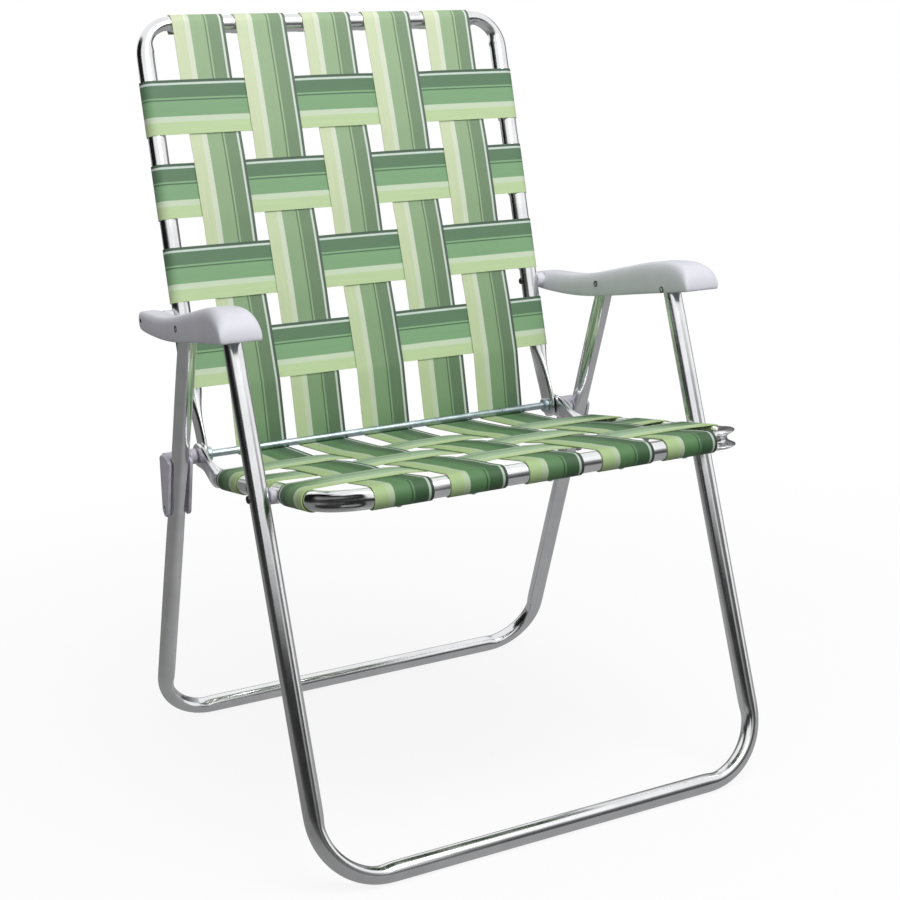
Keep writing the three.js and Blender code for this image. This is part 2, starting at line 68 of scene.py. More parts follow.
aim = Matrix.Rotation(-camera_turn, 4, "Z")
aim = aim @ Matrix.Rotation(math.pi / 2 - camera_dip, 4, "X")
aim = aim @ Matrix.Rotation(camera_roll, 4, "Z")
bpy.ops.object.camera_add(location=camera_place, rotation=aim.to_euler())
camera = bpy.context.active_object
camera.data.sensor_width = 36
camera.data.lens = focal_pixels * camera.data.sensor_width / photo_size
camera.data.shift_x = 0.5 - picture_middle[0] / photo_size
camera.data.shift_y = picture_middle[1] / photo_size - 0.5
bpy.context.scene.camera = camera

# Front legs: one length of bright aluminium tube, bent cold round two corners into a U whose bar
# is the front foot. The inner wall of each bend is pressed in by the bending shoe, and the open
# tops go up into the armrests, each on a rivet.
pivots = {joint["name"]: Vector(joint["pos_m"]) for joint in frame["joints"]}
bolt_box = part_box("seat_bolt_left")
seat_bolt = (bolt_box[0] + bolt_box[1]) / 2
tube_radius = 0.0095
tube_wall = 0.0011
leg_half = 0.485 / 2
foot_half = 0.477 / 2
front_foot_bend = 0.065
front_top_reach = 0.008
ring_sides = 24
bend_steps = 12
mouth_depth = 0.020
# A ring this far from each bend keeps the straight tube straight.
support = 0.012
# Points are picked by their place within a tolerance, and those of a bend lie within bend_zone
# times its radius.
tolerance = 0.001
bend_zone = 1.4
# Smoothing draws a ring of few sides in, so the ring starts that much larger.
ring_radius = tube_radius / (2 / 3 + math.cos(2 * math.pi / ring_sides) / 3)


class TubePlane:
    """The plane that a bent tube lies in: across it, along its legs, and out of it to the front."""

    def __init__(self, start, lean):
        self.start = Vector((0, start[0], start[1]))
        self.lean = lean
        self.along = Vector((0, math.sin(lean), math.cos(lean)))
        self.out = Vector((0, -math.cos(lean), math.sin(lean)))

    def point(self, across, along, out):
        return self.start + Vector((across, 0, 0)) + along * self.along + out * self.out

    def along_of(self, point):
        return (point - self.start).dot(self.along)

    def out_of(self, point):
        return (point - self.start).dot(self.out)

    def stand(self, piece):
        """Stands up a piece that was modelled lying flat, across on X and along on Y."""
        put(piece, self.start, (math.pi / 2 - self.lean, 0, 0))


def put(piece, place, turn):
    """Moves and turns a piece that was modelled at the origin, and applies that to its mesh."""
    bpy.ops.object.select_all(action="DESELECT")
    piece.select_set(True)
    bpy.context.view_layer.objects.active = piece
    piece.location = place
    piece.rotation_euler = turn
    bpy.ops.object.transform_apply(location=True, rotation=True, scale=True)


def begin(name, primitive, **settings):
    """Adds a primitive with nothing else selected, applies its place and goes into edit mode."""
    bpy.ops.object.select_all(action="DESELECT")
    primitive(**settings)
    piece = bpy.context.active_object
    piece.name = name
    bpy.ops.object.transform_apply(location=True, rotation=True, scale=True)
    bpy.ops.object.mode_set(mode="EDIT")
    bpy.ops.mesh.select_all(action="SELECT")
    return piece


def pick(piece, wanted, kind="verts"):
    """Selects the points, edges or faces whose place and direction pass the test."""
    bpy.ops.mesh.select_mode(type={"verts": "VERT", "edges": "EDGE", "faces": "FACE"}[kind])
    bpy.ops.mesh.select_all(action="DESELECT")
    shape = bmesh.from_edit_mesh(piece.data)
    for part in getattr(shape, kind):
        if kind == "verts":
            place, direction = part.co, part.normal
        elif kind == "edges":
            place = (part.verts[0].co + part.verts[1].co) / 2
            direction = (part.verts[1].co - part.verts[0].co).normalized()
        else:
            place, direction = part.calc_center_median(), part.normal
        if wanted(place, direction):
            part.select_set(True)
    shape.select_flush_mode()
    bmesh.update_edit_mesh(piece.data)


def pick_stretch(piece, side, start, end):
    """Selects the rings of a hoop's left (1) or right (-1) leg from one place along it to another."""
    low, high = start - tolerance, end + tolerance
    pick(piece, lambda place, _: side * place.x > 0 and low < place.y < high)


def run_tube(across, along):
    """Draws the tube on from its end ring."""
    bpy.ops.mesh.extrude_region_move(TRANSFORM_OT_translate={"value": (across, along, 0)})


def turn_tube(centre, angle):
    """Bends the tube on from its end ring round a centre; a positive angle turns clockwise."""
    bpy.ops.mesh.spin(steps=bend_steps, angle=angle, center=(*centre, 0), axis=(0, 0, 1))


def bend_hoop(name, half, bend, bar, leg_stops):
    """Bends a tube round two corners. leg_stops run from its open ends towards its bar."""
    way = 1 if bar > leg_stops[0] else -1
    corner = bar - way * bend
    stops = [*leg_stops, corner - way * support, corner]
    piece = begin(
        name,
        bpy.ops.mesh.primitive_circle_add,
        vertices=ring_sides,
        radius=ring_radius,
        location=(-half, stops[0], 0),
        rotation=(math.pi / 2, 0, 0),
    )
    for before, after in zip(stops, stops[1:]):
        run_tube(0, after - before)
    turn_tube((-half + bend, corner), way * math.pi / 2)
    for step in (support, 2 * (half - bend - support), support):
        run_tube(step, 0)
    turn_tube((half - bend, corner), way * math.pi / 2)
    stops.reverse()
    for before, after in zip(stops, stops[1:]):
        run_tube(0, after - before)
    return piece


def press_bend(piece, centre, middle, bend, side, depth, passes):
    """Presses the inner (-1) or outer (1) wall of a bend towards the tube's axis. Each pass takes
    the rows within a share of the radius of the wall's middle, over so many degrees either way."""
    for share, reach in passes:

        def in_dent(place, _):
            arm = Vector((place.x - centre[0], place.y - centre[1]))
            near = abs(place.z) < share * tube_radius and side * (arm.length - bend) > 0
            near = near and arm.length < bend_zone * bend
            return near and arm.angle(Vector(middle)) < math.radians(reach)

        pick(piece, in_dent)
        shrink = 1 - side * depth / len(passes) / (bend + side * tube_radius)
        bpy.ops.transform.resize(value=(shrink, shrink, 1), center_override=(*centre, 0))


def open_mouth(piece, top):
    """Turns the ring at each open top in by the tube's wall and sinks it, so the tube is hollow."""
    inner = (tube_radius - tube_wall) / tube_radius
    for side in (-1, 1):
        pick_stretch(piece, side, top, top)
        run_tube(0, 0)
        bpy.ops.transform.resize(value=(inner, 1, inner), center_override=(side * leg_half, 0, 0))
        run_tube(0, -mouth_depth)
        bpy.ops.mesh.edge_face_add()


def close_piece(piece, levels, wall=0):
    """Merges doubles, turns the faces outwards and leaves edit mode, then gives an open shell its
    wall and smooths the piece."""
    bpy.ops.mesh.select_all(action="SELECT")
    bpy.ops.mesh.remove_doubles(threshold=1e-5)
    bpy.ops.mesh.normals_make_consistent(inside=False)
    bpy.ops.object.mode_set(mode="OBJECT")
    if wall:
        walls = piece.modifiers.new("walls", "SOLIDIFY")
        walls.thickness = wall
        walls.offset = -1
        bpy.ops.object.modifier_apply(modifier=walls.name)
    if levels:
        smoothing = piece.modifiers.new("smoothing", "SUBSURF")
        smoothing.levels = smoothing.render_levels = levels
        bpy.ops.object.modifier_apply(modifier=smoothing.name)
    bpy.ops.object.shade_smooth()


def fit(piece, body, finish, slot, *nodes):
    """Gives a piece its finish and its body, and lets it stand for its CAD nodes."""
    piece.data.materials.clear()
    piece.data.materials.append(finish)
    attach(piece, body)
    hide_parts(*nodes)


def finish_hoop(piece, plane, body, node):
    """Closes and smooths a bent tube, stands it up in its plane and fits it to its body."""
    close_piece(piece, 2)
    plane.stand(piece)
    fit(piece, body, bright_aluminium, "aluminium_tube", node)


class Wire:
    """An output of a material's nodes. Arithmetic on wires and numbers adds Math nodes."""

    def __init__(self, tree, output=None):
        self.tree = tree
        self.output = output

    def node(self, kind, settings, inputs, output=0):
        """Adds a node with its settings, feeds its sockets, and gives one of its outputs."""
        made = self.tree.nodes.new(kind)
        for key, value in settings.items():
            if key == "stops":
                elements = made.color_ramp.elements
                while len(elements) < len(value):
                    elements.new(1)
                for element, (position, colour) in zip(elements, value):
                    element.position = position
                    element.color = (*colour, 1)
            else:
                setattr(made, key, value)
        for key, value in inputs.items():
            if isinstance(value, Wire):
                self.tree.links.new(value.output, made.inputs[key])
            else:
                made.inputs[key].default_value = value
        return Wire(self.tree, made.outputs[output])

    def math(self, operation, first, second=0.0):
        return self.node("ShaderNodeMath", {"operation": operation}, {0: first, 1: second})

    def __add__(self, other):
        return self.math("ADD", self, other)

    def __mul__(self, other):
        return self.math("MULTIPLY", self, other)

    __radd__ = __add__
    __rmul__ = __mul__

    def sine(self):
        return self.math("SINE", self)

    def noise(self, place, scale, detail):
        inputs = {"Vector": place, "Scale": scale, "Detail": detail}
        return self.node("ShaderNodeTexNoise", {}, inputs)

    def ramp(self, stops):
        return self.node("ShaderNodeValToRGB", {"stops": stops}, {"Fac": self})

    def axis(self, letter):
        return self.node("ShaderNodeSeparateXYZ", {}, {"Vector": self}, letter)

    def mix(self, kind, share, first, second):
        settings = {"data_type": "RGBA", "blend_type": kind}
        return self.node("ShaderNodeMix", settings, {0: share, 6: first, 7: second}, 2)


def new_finish(name, metallic):
    """A material with its surface shader, a wire to start expressions from, and its place."""
    finish = bpy.data.materials.new(name)
    finish.use_nodes = True
    surface = finish.node_tree.nodes["Principled BSDF"]
    surface.inputs["Metallic"].default_value = metallic
    wire = Wire(finish.node_tree)
    return finish, surface, wire, wire.node("ShaderNodeTexCoord", {}, {}, "Object")


def feed(surface, wire, **sockets):
    """Links wires to the surface shader's sockets."""
    for name, value in sockets.items():
        wire.tree.links.new(value.output, surface.inputs[name.replace("_", " ")])


def raised(wire, height, strength, distance):
    """A normal that follows a height."""
    inputs = {"Strength": strength, "Distance": distance, "Height": height}
    return wire.node("ShaderNodeBump", {}, inputs)


bright_aluminium, surface, wire, place = new_finish("bright_aluminium", metallic=1.0)
clouds = wire.noise(place, scale=38.0, detail=4.0)
handling = wire.noise(place, scale=420.0, detail=3.0)
tint = [(0.35, (0.78, 0.785, 0.80)), (0.65, (0.86, 0.865, 0.875))]
feed(
    surface,
    wire,
    Base_Color=clouds.ramp(tint),
    Roughness=0.09 + 0.08 * clouds + 0.05 * handling,
    Normal=raised(wire, handling, strength=0.06, distance=0.0002),
)

leg_middle = (seat_bolt + pivots["front_leg_fold"]) / 2
front_lean = math.atan2(leg_middle.y + foot_half, leg_middle.z - tube_radius)
front_plane = TubePlane((-foot_half, tube_radius), front_lean)
front_top = front_plane.along_of(pivots["front_leg_fold"]) + front_top_reach
foot_dent = [(1.1, 41), (0.8, 39), (0.45, 37)]
foot_dent_depth = 0.0026


def press_feet(piece, bend):
    """Presses in the inner walls of both foot bends."""
    for side in (-1, 1):
        centre = (side * (leg_half - bend), bend)
        press_bend(piece, centre, (side, -1), bend, -1, foot_dent_depth, foot_dent)


front_legs = bend_hoop("front_leg_tube", leg_half, front_foot_bend, 0, [front_top])
press_feet(front_legs, front_foot_bend)
open_mouth(front_legs, front_top)
finish_hoop(front_legs, front_plane, "front_legs", "front_leg_frame")

# Rear legs: the same tube bent the same way, a little tighter at the foot. It is squeezed slightly
# between the wings of the flip links, and its tops are pinched to turn inside the armrests.
rear_foot_bend = 0.058
rear_top_reach = 0.004
pinch_length = 0.018
pinch_share = 0.68
squeeze_from, squeeze_to, squeeze_fade = 0.275, 0.400, 0.018
squeeze_share = (0.93, 1, 1.03)

rear_rivet = pivots["rear_leg_fold"]
rear_lean = math.atan2(rear_rivet.y - foot_half, rear_rivet.z - tube_radius)
rear_plane = TubePlane((foot_half, tube_radius), rear_lean)
rear_top = rear_plane.along_of(rear_rivet) + rear_top_reach
rear_stops = [
    rear_top,
    rear_top - pinch_length,
    squeeze_to + squeeze_fade,
    squeeze_to,
    squeeze_from,
    squeeze_from - squeeze_fade,
]
rear_legs = bend_hoop("rear_leg_tube", leg_half, rear_foot_bend, 0, rear_stops)
press_feet(rear_legs, rear_foot_bend)
for side in (-1, 1):
    axis = (side * leg_half, 0, 0)
    pick_stretch(rear_legs, side, squeeze_from, squeeze_to)
    bpy.ops.transform.resize(value=squeeze_share, center_override=axis)
    pick_stretch(rear_legs, side, rear_top, rear_top)
    bpy.ops.transform.resize(value=(1, 1, pinch_share), center_override=axis)
open_mouth(rear_legs, rear_top)
finish_hoop(rear_legs, rear_plane, "rear_legs", "rear_leg_frame")

# Back frame: a tube bent into a U whose bar is the top of the back. Its two ends are pressed flat
# in a die, set over to the front, and hang on the hinge rod.
hinge = pivots["seat_fold"]
back_half = 0.2110
back_height = 0.453
back_bend = 0.033
hinge_before_back = 0.0065
rivet_behind_back = 0.0025
flat_thickness = 0.005
flat_half = 0.0135
flat_reach = 0.014
flat_length = 0.016
flat_set = 0.024
flat_taper = 0.025
flat_squash = 0.36
tip_share = 0.6
round_start = flat_length + flat_set + flat_taper
flat_stops = [
    -flat_reach,
    -flat_reach / 2,
    flat_length,
    flat_length + flat_set,
    round_start,
    round_start + 0.5 * support,
    round_start + 1.5 * support,
]


def flatten_ends(piece, half, set_over):
    """Presses the ends of a hoop flat and sets them over, then rounds their tips and closes them."""
    pressed = flat_length + flat_set
    grow = flat_half / ring_radius
    for side in (-1, 1):
        axis = side * half
        pick_stretch(piece, side, -flat_reach, pressed)
        bpy.ops.transform.resize(value=(flat_squash, 1, grow), center_override=(axis, 0, 0))
        for face in (-1, 1):
            die = axis + face * flat_thickness / 2

            def past_die(place, _):
                in_die = side * place.x > 0 and place.y < pressed + tolerance
                return in_die and face * (place.x - die) > 0

            pick(piece, past_die)
            bpy.ops.transform.resize(value=(0, 1, 1), center_override=(die, 0, 0))
        pick_stretch(piece, side, -flat_reach, flat_length)
        bpy.ops.transform.translate(value=(0, 0, set_over))
        pick_stretch(piece, side, -flat_reach, -flat_reach)
        bpy.ops.transform.resize(value=(1, 1, tip_share), center_override=(axis, 0, set_over))
        bpy.ops.mesh.edge_face_add()


arm_pivot = pivots["arm_fold"] - hinge
back_lean = math.atan2(arm_pivot.y, arm_pivot.z)
back_lean -= math.asin((hinge_before_back + rivet_behind_back) / arm_pivot.length)
back_out = Vector((0, -math.cos(back_lean), math.sin(back_lean)))
back_start = hinge - hinge_before_back * back_out
back_plane = TubePlane(back_start.yz, back_lean)
corner_dent = [(1.0, 38), (0.75, 30), (0.4, 22)]
corner_dent_depth = 0.0055
corner_dent_lean = 0.6

back_tube = bend_hoop("back_tube", back_half, back_bend, back_height, flat_stops)
for side in (-1, 1):
    centre = (side * (back_half - back_bend), back_height - back_bend)
    middle = (corner_dent_lean * side, 1)
    press_bend(back_tube, centre, middle, back_bend, -1, corner_dent_depth, corner_dent)
flatten_ends(back_tube, back_half, hinge_before_back)
finish_hoop(back_tube, back_plane, "back", "back_frame")

# Seat frame: a tube bent into a U whose bar is the seat's front. Its tight corners have collapsed
# on the outside into a long dimple, and its flat ends turn on the hinge rod outside the back's.
seat_half = 0.21657
seat_front = 0.35443
seat_bend = 0.040
seat_slope = math.radians(7.3)
seat_lean = seat_slope - math.pi / 2
seat_along = Vector((0, math.sin(seat_lean), math.cos(seat_lean)))
seat_start = seat_bolt - (seat_bolt - hinge).dot(seat_along) * seat_along
seat_plane = TubePlane(seat_start.yz, seat_lean)
dimple = [(1.1, 43), (0.9, 40), (0.7, 36), (0.45, 32)]
dimple_depth = 0.0056
# The sitter's left corner stands further out in its middle, clear of the straps on either side of
# it, with a deeper fold between its lips.
swell = [(1.1, 25)]
left_swell = 0.006
left_fold = 0.011

seat_tube = bend_hoop("seat_tube", seat_half, seat_bend, seat_front, flat_stops)
for side in (-1, 1):
    centre = (side * (seat_half - seat_bend), seat_front - seat_bend)
    if side > 0:
        press_bend(seat_tube, centre, (side, 1), seat_bend, 1, -left_swell, swell)
        press_bend(seat_tube, centre, (side, 1), seat_bend, 1, left_fold, dimple[2:])
    else:
        press_bend(seat_tube, centre, (side, 1), seat_bend, 1, dimple_depth, dimple)
flatten_ends(seat_tube, seat_half, seat_plane.out_of(hinge))
finish_hoop(seat_tube, seat_plane, "seat", "seat_frame")

# Hinge rod: a plain zinc-plated steel rod across the chair. A turned collar is pushed on inside
# each pair of flat tube ends, and a plastic bush keeps them off the flip link outside.
rod_radius = 0.004
rod_chamfer = 0.0006
rod_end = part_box("hinge_rod")[1].x
clearance = 0.0001
collar_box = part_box("rod_collar_left")
collar_chamfer = 0.0008
bush_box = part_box("rod_bush_left")
bush_share = 0.82
bush_chamfer = 0.0012
crease = math.radians(32)


def turned(name, stations, sides=40, hollow=False):
    """Turns a piece from (height, radius) stations up its axis, each ring drawn from the last."""
    height, radius = stations[0]
    piece = begin(
        name,
        bpy.ops.mesh.primitive_circle_add,
        vertices=sides,
        radius=radius,
        fill_type="NOTHING" if hollow else "NGON",
        location=(0, 0, height),
    )
    for next_height, next_radius in stations[1:]:
        rise = (0, 0, next_height - height)
        bpy.ops.mesh.extrude_region_move(TRANSFORM_OT_translate={"value": rise})
        grow = next_radius / radius
        bpy.ops.transform.resize(value=(grow, grow, 1), center_override=(0, 0, next_height))
        height, radius = next_height, next_radius
    close_piece(piece, 0)
    bpy.ops.object.shade_smooth_by_angle(angle=crease)
    return piece


def copy_of(piece, name):
    """A copy of a piece with a mesh of its own."""
    twin = piece.copy()
    twin.data = piece.data.copy()
    twin.name = name
    bpy.context.scene.collection.objects.link(twin)
    return twin


def ring_stations(length, inner, outer, chamfer):
    """A chamfered ring that starts and ends on its inner edge."""
    return [
        (0, inner),
        (0, outer - chamfer),
        (chamfer, outer),
        (length - chamfer, outer),
        (length, outer - chamfer),
        (length, inner),
        (0, inner),
    ]


def lay_across(piece, across, level, way):
    """Lays a turned piece across the chair, level with a point, with its top to the left (1) or the
    right (-1)."""
    put(piece, (across, level.y, level.z), (0, way * math.pi / 2, 0))


def seen(red, green, blue):
    """A colour as it shows on a screen, from 0 to 255, as the linear values of a shader."""
    shares = (red / 255, green / 255, blue / 255)
    return tuple(((c + 0.055) / 1.055) ** 2.4 if c > 0.04 else c / 12.92 for c in shares)


def clouded(name, metallic, clouds, tint, roughness, grain=None):
    """A finish whose colour and roughness drift with a cloudy noise. clouds gives its scale and
    detail, roughness its least and how much it adds, and grain a raised noise."""
    finish, surface, wire, place = new_finish(name, metallic)
    drift = wire.noise(place, *clouds)
    feed(
        surface,
        wire,
        Base_Color=drift.ramp([(0.3, tint[0]), (0.7, tint[1])]),
        Roughness=roughness[0] + roughness[1] * drift,
    )
    if grain:
        scale, strength, distance = grain
        feed(surface, wire, Normal=raised(wire, wire.noise(place, scale, 2.0), strength, distance))
    return finish


zinc_plate = clouded(
    "zinc_plate",
    metallic=1.0,
    clouds=(120.0, 5.0),
    tint=((0.36, 0.45, 0.47), (0.54, 0.63, 0.65)),
    roughness=(0.20, 0.22),
    grain=(900.0, 0.15, 0.0003),
)
lilac_plastic = clouded(
    "lilac_plastic",
    metallic=0.0,
    clouds=(70.0, 3.0),
    tint=(seen(196, 193, 203), seen(212, 209, 219)),
    roughness=(0.38, 0.15),
    grain=(1500.0, 0.12, 0.0002),
)

rod = turned(
    "hinge_rod_bar",
    [
        (-rod_end, rod_radius - rod_chamfer),
        (-rod_end + rod_chamfer, rod_radius),
        (rod_end - rod_chamfer, rod_radius),
        (rod_end, rod_radius - rod_chamfer),
    ],
)
lay_across(rod, 0, hinge, 1)
fit(rod, "back", zinc_plate, "zinc_steel", "hinge_rod")

collar_length = collar_box[1].x - collar_box[0].x
collar_radius = (collar_box[1].z - collar_box[0].z) / 2
collar = turned(
    "rod_collar_ring_left",
    ring_stations(collar_length, rod_radius + clearance, collar_radius, collar_chamfer),
    hollow=True,
)
bush_length = bush_box[1].x - bush_box[0].x
bush_radius = bush_share * (bush_box[1].z - bush_box[0].z) / 2
bush = turned(
    "rod_bush_hub_left",
    ring_stations(bush_length, rod_radius + clearance, bush_radius, bush_chamfer),
    hollow=True,
)
for left, box, name, finish, slot in (
    (collar, collar_box, "rod_collar", zinc_plate, "zinc_steel"),
    (bush, bush_box, "rod_bush", lilac_plastic, "grey_plastic"),
):
    right = copy_of(left, left.name.replace("left", "right"))
    lay_across(left, box[0].x, hinge, 1)
    lay_across(right, -box[0].x, hinge, -1)
    fit(left, "back", finish, slot, name + "_left")
    fit(right, "back", finish, slot, name + "_right")

# Flip links: moulded plastic, two wings beside the rear leg on one rivet, joined by a boss and a
# web at the rod. They turn over as the chair folds.
link_rivet = pivots["link_flip"]
wing_inner, wing_outer = 0.01014, 0.01334
wing_hinge_radius = 0.012
wing_rivet_radius = 0.009
wing_forward = 0.008
wing_top_share = 0.45
wing_rim = 0.0012
link_sides = 48
link_boss_radius = 0.005
link_overlap = 0.002
link_web_length = 0.009
link_web_thickness = 0.006
link_rivet_radius = 0.0036
link_rivet_height = 0.0006
link_rivet_hole = 0.0022
link_rivet_sides = 32
rivet_sink = 0.001
# Points of the small mouldings are picked within a finer tolerance.
fine = 0.0002
link_way = (link_rivet - hinge).normalized()


def link_for(side):
    """One link, its wings drawn out from a disc at the rod to a smaller round at the rivet."""
    middle = side * leg_half
    piece = begin(
        "flip_link_left" if side > 0 else "flip_link_right",
        bpy.ops.mesh.primitive_cylinder_add,
        vertices=link_sides,
        radius=link_boss_radius,
        depth=2 * wing_inner + link_overlap,
        location=(middle, hinge.y, hinge.z),
        rotation=(0, math.pi / 2, 0),
    )
    past_boss = link_boss_radius + tolerance / 2
    in_wing = (wing_outer - wing_inner) / 2 + fine / 2
    for wing in (-1, 1):
        wing_middle = middle + wing * (wing_inner + wing_outer) / 2
        bpy.ops.mesh.primitive_cylinder_add(
            vertices=link_sides,
            radius=wing_hinge_radius,
            depth=wing_outer - wing_inner,
            location=(wing_middle, hinge.y, hinge.z),
            rotation=(0, math.pi / 2, 0),
        )

        def lower_half(place, _):
            below = (place - hinge).dot(link_way) > fine / 2 and abs(place.x - wing_middle) < in_wing
            return below and (place - hinge).yz.length > wing_hinge_radius - tolerance

        pick(piece, lower_half)
        bpy.ops.transform.translate(value=link_rivet - hinge)
        shrink = wing_rivet_radius / wing_hinge_radius
        rivet_end = (wing_middle, link_rivet.y, link_rivet.z)
        bpy.ops.transform.resize(value=(1, shrink, shrink), center_override=rivet_end)

        def before_rod(place, _):
            upper = (place - hinge).dot(link_way) < fine and abs(place.x - wing_middle) < in_wing
            return upper and (place - hinge).dot(rear_plane.out) > past_boss

        def above_rod(place, _):
            upper = place.z > hinge.z + fine and abs(place.x - wing_middle) < in_wing
            return upper and (place - hinge).yz.length > past_boss

        pick(piece, before_rod)
        bpy.ops.transform.translate(value=wing_forward * rear_plane.out)
        pick(piece, above_rod)
        bpy.ops.transform.resize(value=(1, 1, wing_top_share), center_override=hinge)
        outer_face = abs(wing_middle - middle) + (wing_outer - wing_inner) / 2

        def outer_rim(place, direction):
            on_face = abs(abs(place.x - middle) - outer_face) < fine
            return on_face and wing * (place.x - middle) > 0 and abs(direction.x) < 0.1

        pick(piece, outer_rim, "edges")
        bpy.ops.mesh.bevel(offset=wing_rim, segments=3, affect="EDGES")
    behind = hinge - link_web_length / 2 * rear_plane.out
    bpy.ops.mesh.primitive_cube_add(
        size=1,
        location=(middle, behind.y, behind.z),
        rotation=(math.pi / 2 - rear_lean, 0, 0),
        scale=(2 * wing_inner + link_overlap, link_web_thickness, link_web_length),
    )
    close_piece(piece, 0)
    bpy.ops.object.shade_smooth_by_angle(angle=crease)
    return piece


def rivet_stations(head_radius, head_height, hole_radius):
    """A tubular rivet's rolled head, from below the surface it sits on to its hollow middle."""
    return [
        (-rivet_sink, head_radius),
        (0.45 * head_height, head_radius),
        (0.9 * head_height, 0.86 * head_radius),
        (head_height, 0.7 * head_radius),
        (0.8 * head_height, hole_radius),
        (-0.9 * rivet_sink, 0.85 * hole_radius),
    ]


sides = ((1, "left"), (-1, "right"))
stations = rivet_stations(link_rivet_radius, link_rivet_height, link_rivet_hole)
link_rivet_head = turned("link_rivet_head", stations, link_rivet_sides)
for side, name in sides:
    fit(link_for(side), "links", lilac_plastic, "grey_plastic", "hinge_link_" + name)
    for face, end in ((1, "outer"), (-1, "inner")):
        head = copy_of(link_rivet_head, f"link_rivet_{end}_{name}")
        lay_across(head, side * (leg_half + face * wing_outer), link_rivet, side * face)
        fit(head, "rear_legs", zinc_plate, "zinc_steel", "link_rivet_" + name)
bpy.data.objects.remove(link_rivet_head)

# Seat bolts: a steel bolt with a low, darkened head goes through the front leg, a plastic
# spacer and the seat tube on each side, and is riveted over inside.
spacer_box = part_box("seat_spacer_left")
spacer_length = spacer_box[1].x - spacer_box[0].x
spacer_radius = (spacer_box[1].z - spacer_box[0].z) / 2
spacer_chamfer = 0.0007
shank_radius = 0.003
shank_sink = 0.001
bolt_head_radius = 0.0038
bolt_head_height = 0.0016
bolt_head_edge = 0.0004
bolt_head_sink = 0.0006
dome_steps = 6

dark_steel = clouded(
    "dark_steel",
    metallic=1.0,
    clouds=(300.0, 4.0),
    tint=((0.055, 0.05, 0.045), (0.13, 0.125, 0.12)),
    roughness=(0.40, 0.25),
)

dome = [(-bolt_head_sink, bolt_head_radius), (bolt_head_edge, bolt_head_radius)]
for step in range(1, dome_steps + 1):
    angle = step * math.pi / (2 * dome_steps + 1)
    rise = bolt_head_edge + bolt_head_height * math.sin(angle)
    dome.append((rise, bolt_head_radius * math.cos(angle)))
bolt_head = turned("seat_bolt_head", dome)
shank_length = spacer_length + 2 * shank_sink
shank = turned("seat_bolt_shank", [(0, shank_radius), (shank_length, shank_radius)])
stations = ring_stations(spacer_length, shank_radius + clearance, spacer_radius, spacer_chamfer)
spacer = turned("seat_spacer", stations, hollow=True)
for side, name in sides:
    ring = copy_of(spacer, "seat_spacer_ring_" + name)
    lay_across(ring, side * spacer_box[0].x, seat_bolt, side)
    fit(ring, "seat", lilac_plastic, "grey_plastic", "seat_spacer_" + name)
    for pattern, part, across, way, finish in (
        (shank, "seat_bolt_pin_", spacer_box[0].x - shank_sink, side, zinc_plate),
        (bolt_head, "seat_bolt_outer_", leg_half + tube_radius, side, dark_steel),
        (bolt_head, "seat_bolt_inner_", seat_half - tube_radius, -side, zinc_plate),
    ):
        steel = copy_of(pattern, part + name)
        lay_across(steel, side * across, seat_bolt, way)
        fit(steel, "seat", finish, "zinc_steel", "seat_bolt_" + name)
for pattern in (bolt_head, shank, spacer):
    bpy.data.objects.remove(pattern)

# Armrests: a deep channel of white plastic, open below, moulded with a saddle behind, a swelling
# front and a broad nose that flares outwards. The leg tops turn inside it, and a boss on its
# inner side bears on the back tube.
arm_wall = 0.0028
arm_boss_radius = 0.008
arm_boss_gap = 0.0003
arm_boss_sink = 0.0015
arm_boss_sides = 40
arm_round_percent = {"inner": 58, "outer": 40}
# Forward of the back rivet, top and underside from the line of the rivets, and the reach of the
# inner and outer sides from the middle of the leg.
arm_stations = [
    (-0.0290, 0.0040, -0.0060, 0.0125, 0.0010),
    (-0.0278, 0.0062, -0.0080, 0.0140, 0.0030),
    (-0.0240, 0.0074, -0.0088, 0.0142, 0.0068),
    (-0.0160, 0.0082, -0.0094, 0.0142, 0.0106),
    (-0.0040, 0.0092, -0.0108, 0.0142, 0.0128),
    (0.0150, 0.0092, -0.0130, 0.0142, 0.0132),
    (0.0550, 0.0074, -0.0154, 0.0142, 0.0132),
    (0.0900, 0.0090, -0.0157, 0.0142, 0.0132),
    (0.1200, 0.0132, -0.0144, 0.0142, 0.0132),
    (0.1600, 0.0190, -0.0113, 0.0142, 0.0134),
    (0.2000, 0.0250, -0.0080, 0.0142, 0.0150),
    (0.2250, 0.0278, -0.0060, 0.0142, 0.0178),
    (0.2450, 0.0288, -0.0044, 0.0144, 0.0216),
    (0.2620, 0.0282, -0.0030, 0.0146, 0.0250),
    (0.2760, 0.0254, -0.0020, 0.0146, 0.0268),
    (0.2845, 0.0200, -0.0012, 0.0144, 0.0272),
    (0.2890, 0.0120, -0.0008, 0.0138, 0.0268),
    (0.2905, 0.0040, -0.0006, 0.0122, 0.0252),
]
# How far the sides stand from the middle of the leg at the back rivet, and along the skirts.
*_, boss_side, hole_side = arm_stations[4]
*_, skirt_inner, skirt_outer = arm_stations[7]

white_plastic = clouded(
    "white_plastic",
    metallic=0.0,
    clouds=(24.0, 3.0),
    tint=(seen(216, 216, 225), seen(223, 223, 232)),
    roughness=(0.40, 0.14),
    grain=(1300.0, 0.12, 0.0002),
)

rivet_line = pivots["front_leg_fold"] - pivots["arm_fold"]
arm_tilt = math.atan2(rivet_line.z, -rivet_line.y)
block_half, block_rise = 0.01, 0.005


def top_edge(place, direction, side):
    """The long edge between an armrest's top and one of its sides."""
    nearest = min(arm_stations, key=lambda station: abs(place.y + station[0]))
    middle = (nearest[1] + nearest[2]) / 2
    return abs(direction.y) > 0.15 and side * place.x > 0.0015 and place.z > middle


